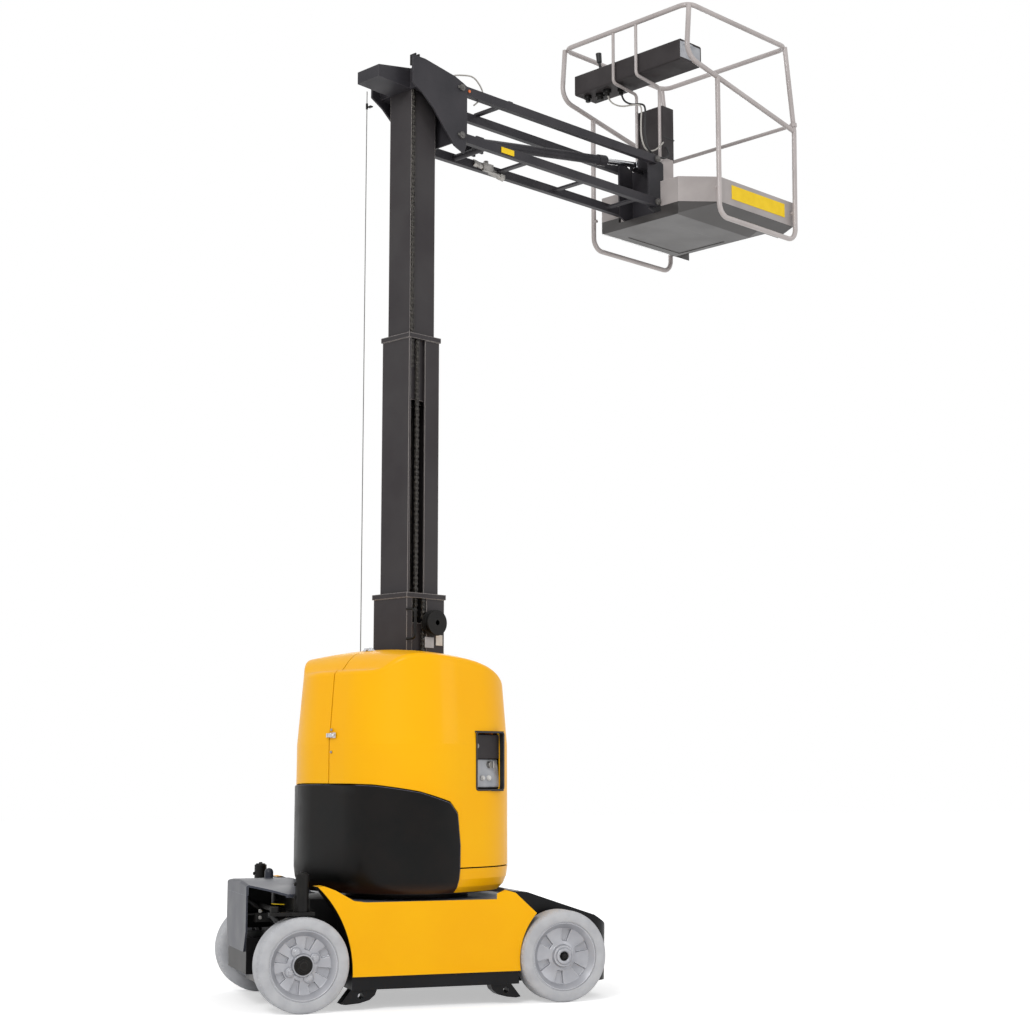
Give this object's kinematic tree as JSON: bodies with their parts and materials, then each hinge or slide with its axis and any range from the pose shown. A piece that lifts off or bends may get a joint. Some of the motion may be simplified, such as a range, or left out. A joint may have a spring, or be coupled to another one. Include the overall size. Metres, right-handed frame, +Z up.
{
  "type": "vertical mast lift",
  "caption": "Self-propelled vertical mast lift: four-wheel chassis, slewing turret, telescoping mast, levelled jib and a guard-railed work platform.",
  "frame": {"origin": "centre of the wheels' rectangle on the floor, under the slewing axis", "axes": "+X towards the fixed-wheel end of the chassis, +Z up; the turret stands slewed 25.1 degrees about +Z from +X, as in the picture"},
  "size_m": [3.3082, 2.0324, 5.194],
  "materials": {
    "yellow_paint": "gloss",
    "black_paint": "satin",
    "black_plastic": "satin",
    "tyre": "matt, non-marking",
    "rim_paint": "satin",
    "mast_paint": "satin",
    "chain_steel": "oiled",
    "chrome_rod": "polished",
    "platform_paint": "satin",
    "grey_plastic": "matt"
  },
  "bodies": {
    "chassis": {"chassis_body": "yellow_paint", "belly_pan": "black_paint", "steer_cover": "black_plastic", "nose_cover": "black_plastic", "slew_ring": "black_paint", "steer_axle": "black_paint", "fixed_axle": "black_paint"},
    "knuckle_near": {"knuckle_near": "black_paint"},
    "knuckle_far": {"knuckle_far": "black_paint"},
    "tie_rod": {"tie_rod": "black_paint"},
    "turret": {"turret_base": "black_paint", "counterweight": "black_paint", "power_pack": "black_paint", "front_fairing": "yellow_paint", "ground_controls": "grey_plastic", "mast_base": "mast_paint", "chain_base": "chain_steel"},
    "hood_near": {"hood_near": "yellow_paint"},
    "hood_far": {"hood_far": "yellow_paint"},
    "mast_mid": {"mast_mid": "mast_paint", "chain_mid": "chain_steel"},
    "mast_top": {"mast_top": "mast_paint", "chain_top": "chain_steel", "jib_head": "mast_paint"},
    "lower_arm": {"jib_lower_arm": "mast_paint"},
    "upper_arm": {"jib_upper_arm": "mast_paint"},
    "cylinder": {"jib_cylinder": "mast_paint"},
    "cylinder_rod": {"jib_cylinder_rod": "chrome_rod"},
    "platform": {"platform_carrier": "mast_paint", "platform_tray": "platform_paint", "platform_column": "platform_paint", "guard_rail": "platform_paint", "side_frames": "platform_paint", "console_stays": "platform_paint", "console": "grey_plastic", "document_box": "grey_plastic"},
    "gate": {"gate_bar": "platform_paint"},
    "wheel_steered_near": {"tyre_steered_near": "tyre", "rim_steered_near": "rim_paint"},
    "wheel_steered_far": {"tyre_steered_far": "tyre", "rim_steered_far": "rim_paint"},
    "wheel_fixed_near": {"tyre_fixed_near": "tyre", "rim_fixed_near": "rim_paint"},
    "wheel_fixed_far": {"tyre_fixed_far": "tyre", "rim_fixed_far": "rim_paint"}
  },
  "joints": [
    {"name": "steer_near", "type": "hinge", "parent": "chassis", "child": "knuckle_near", "pos_m": [-0.6, -0.4325, 0.203], "axis": [0, 0, 1], "range_deg": [-50, 50]},
    {"name": "roll_steered_near", "type": "hinge", "parent": "knuckle_near", "child": "wheel_steered_near", "pos_m": [-0.6, -0.4325, 0.203], "axis": [0, 1, 0], "continuous": true},
    {"name": "roll_fixed_near", "type": "hinge", "parent": "chassis", "child": "wheel_fixed_near", "pos_m": [0.6, -0.4325, 0.203], "axis": [0, 1, 0], "continuous": true},
    {"name": "steer_far", "type": "hinge", "parent": "chassis", "child": "knuckle_far", "pos_m": [-0.6, 0.4325, 0.203], "axis": [0, 0, 1], "range_deg": [-50, 50]},
    {"name": "roll_steered_far", "type": "hinge", "parent": "knuckle_far", "child": "wheel_steered_far", "pos_m": [-0.6, 0.4325, 0.203], "axis": [0, 1, 0], "continuous": true},
    {"name": "roll_fixed_far", "type": "hinge", "parent": "chassis", "child": "wheel_fixed_far", "pos_m": [0.6, 0.4325, 0.203], "axis": [0, 1, 0], "continuous": true},
    {"name": "tie_rod_near", "type": "hinge", "parent": "knuckle_near", "child": "tie_rod", "pos_m": [-0.72, -0.4325, 0.437], "axis": [0, 0, 1], "range_deg": [-50, 50]},
    {"name": "slew", "type": "hinge", "parent": "chassis", "child": "turret", "pos_m": [0, 0, 0.47], "axis": [0, 0, 1], "range_deg": [-197.6, 147.4]},
    {"name": "hood_near", "type": "hinge", "parent": "turret", "child": "hood_near", "pos_m": [0.46196, 0.011, 0.7], "axis": [0, 0, 1], "range_deg": [0, 70]},
    {"name": "hood_far", "type": "hinge", "parent": "turret", "child": "hood_far", "pos_m": [0.30416, 0.34787, 0.7], "axis": [0, 0, -1], "range_deg": [0, 70]},
    {"name": "mast_mid_slide", "type": "slide", "parent": "turret", "child": "mast_mid", "axis": [0, 0, 1], "range_m": [-1.215, 0.03]},
    {"name": "mast_top_slide", "type": "slide", "parent": "mast_mid", "child": "mast_top", "axis": [0, 0, 1], "range_m": [-1.215, 0.03]},
    {"name": "jib_lower", "type": "hinge", "parent": "mast_top", "child": "lower_arm", "pos_m": [0.16572, 0.07763, 4.15], "axis": [0.4242, -0.9056, 0], "range_deg": [-60, 60]},
    {"name": "jib_upper", "type": "hinge", "parent": "mast_top", "child": "upper_arm", "pos_m": [0.16572, 0.07763, 4.396], "axis": [0.4242, -0.9056, 0], "range_deg": [-60, 60]},
    {"name": "platform_level", "type": "hinge", "parent": "lower_arm", "child": "platform", "pos_m": [1.52407, 0.71393, 4.15], "axis": [0.4242, -0.9056, 0], "range_deg": [-60, 60]},
    {"name": "cylinder_foot", "type": "hinge", "parent": "lower_arm", "child": "cylinder", "pos_m": [0.39121, 0.18325, 4.212], "axis": [0.4242, -0.9056, 0], "range_deg": [-5, 5]},
    {"name": "cylinder_slide", "type": "slide", "parent": "cylinder", "child": "cylinder_rod", "axis": [0.8959, 0.4197, 0.1455], "range_m": [-0.24, 0.24]},
    {"name": "gate_slide", "type": "slide", "parent": "platform", "child": "gate", "axis": [-0.134, -0.0628, 0.989], "range_m": [0, 0.3]}
  ],
  "couplings": [
    {"joint": "steer_far", "follows": "steer_near", "ratio": 1},
    {"joint": "tie_rod_near", "follows": "steer_near", "ratio": -1},
    {"joint": "mast_top_slide", "follows": "mast_mid_slide", "ratio": 1},
    {"joint": "jib_upper", "follows": "jib_lower", "ratio": 1},
    {"joint": "platform_level", "follows": "jib_lower", "ratio": -1},
    {"joint": "cylinder_foot", "follows": "jib_lower", "ratio": 0.015},
    {"joint": "cylinder_slide", "follows": "jib_lower", "m_per_rad": 0.20319}
  ]
}
